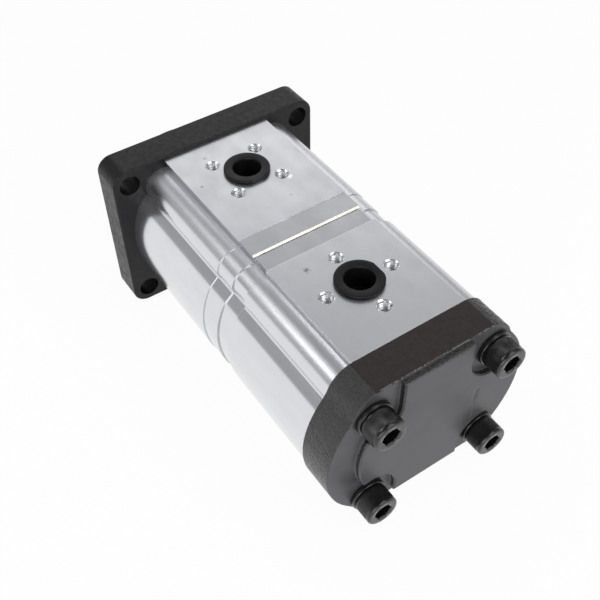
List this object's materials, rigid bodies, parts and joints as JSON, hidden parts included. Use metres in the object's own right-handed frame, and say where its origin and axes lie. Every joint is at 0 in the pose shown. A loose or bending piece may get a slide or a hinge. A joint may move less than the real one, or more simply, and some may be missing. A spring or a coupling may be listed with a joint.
{
  "type": "hydraulic pump",
  "caption": "Tandem external gear pump: flanged front, keyed taper shaft, meshing gears in bearing blocks, flanged ports above and below, closed by transport plugs.",
  "frame": {"origin": "centre of the pilot on the mounting face, on the drive shaft's axis", "axes": "+Y out along the drive shaft, +X from the drive shaft to the driven gear, +Z towards the pressure ports"},
  "size_m": [0.118, 0.2513, 0.09],
  "materials": {
    "flange_paint": "satin black",
    "cover_iron": "rough cast, blackened",
    "body_aluminium": "extruded, faces machined",
    "block_aluminium": "machined",
    "gear_steel": "ground",
    "fastener_steel": "bright",
    "screw_black": "black oxide",
    "washer_steel": "black oxide",
    "bush_bronze": "machined",
    "seal_rubber": "matte",
    "plug_plastic": "moulded"
  },
  "bodies": {
    "housing": {"mounting_flange": "flange_paint", "front_body": "body_aluminium", "rear_body": "body_aluminium", "rear_cover": "cover_iron", "flange_seal": "seal_rubber", "joint_seal": "seal_rubber", "cover_seal": "seal_rubber", "section_seal": "seal_rubber", "shaft_seal": "seal_rubber", "retaining_ring": "fastener_steel", "through_screws": "screw_black", "screw_washers": "washer_steel", "flange_dowels": "fastener_steel", "cover_dowels": "fastener_steel", "front_section_front_bearing_block": "block_aluminium", "front_section_front_bushes": "bush_bronze", "front_section_front_balance_seal": "seal_rubber", "front_section_rear_bearing_block": "block_aluminium", "front_section_rear_bushes": "bush_bronze", "front_section_rear_balance_seal": "seal_rubber", "rear_section_front_bearing_block": "block_aluminium", "rear_section_front_bushes": "bush_bronze", "rear_section_front_balance_seal": "seal_rubber", "rear_section_rear_bearing_block": "block_aluminium", "rear_section_rear_bushes": "bush_bronze", "rear_section_rear_balance_seal": "seal_rubber"},
    "drive_line": {"drive_shaft": "gear_steel", "coupling_sleeve": "gear_steel", "rear_driving_gear": "gear_steel", "shaft_key": "fastener_steel", "nut_washer": "fastener_steel", "shaft_nut": "fastener_steel"},
    "front_driven": {"front_driven_gear": "gear_steel"},
    "rear_driven": {"rear_driven_gear": "gear_steel"},
    "front_pressure_plug_body": {"front_pressure_plug": "plug_plastic"},
    "rear_pressure_plug_body": {"rear_pressure_plug": "plug_plastic"},
    "front_suction_plug_body": {"front_suction_plug": "plug_plastic"},
    "rear_suction_plug_body": {"rear_suction_plug": "plug_plastic"}
  },
  "joints": [
    {"name": "drive_shaft_spin", "type": "hinge", "parent": "housing", "child": "drive_line", "pos_m": [0, 0, 0], "axis": [0, 1, 0], "continuous": true},
    {"name": "front_driven_spin", "type": "hinge", "parent": "housing", "child": "front_driven", "pos_m": [0.031, 0, 0], "axis": [0, 1, 0], "continuous": true},
    {"name": "rear_driven_spin", "type": "hinge", "parent": "housing", "child": "rear_driven", "pos_m": [0.031, 0, 0], "axis": [0, 1, 0], "continuous": true},
    {"name": "front_pressure_plug_pull", "type": "slide", "parent": "housing", "child": "front_pressure_plug_body", "axis": [0, 0, 1], "range_m": [0, 0.014]},
    {"name": "rear_pressure_plug_pull", "type": "slide", "parent": "housing", "child": "rear_pressure_plug_body", "axis": [0, 0, 1], "range_m": [0, 0.014]},
    {"name": "front_suction_plug_pull", "type": "slide", "parent": "housing", "child": "front_suction_plug_body", "axis": [0, 0, -1], "range_m": [0, 0.014]},
    {"name": "rear_suction_plug_pull", "type": "slide", "parent": "housing", "child": "rear_suction_plug_body", "axis": [0, 0, -1], "range_m": [0, 0.014]}
  ],
  "couplings": [
    {"joint": "front_driven_spin", "follows": "drive_shaft_spin", "ratio": -1},
    {"joint": "rear_driven_spin", "follows": "drive_shaft_spin", "ratio": -1}
  ]
}
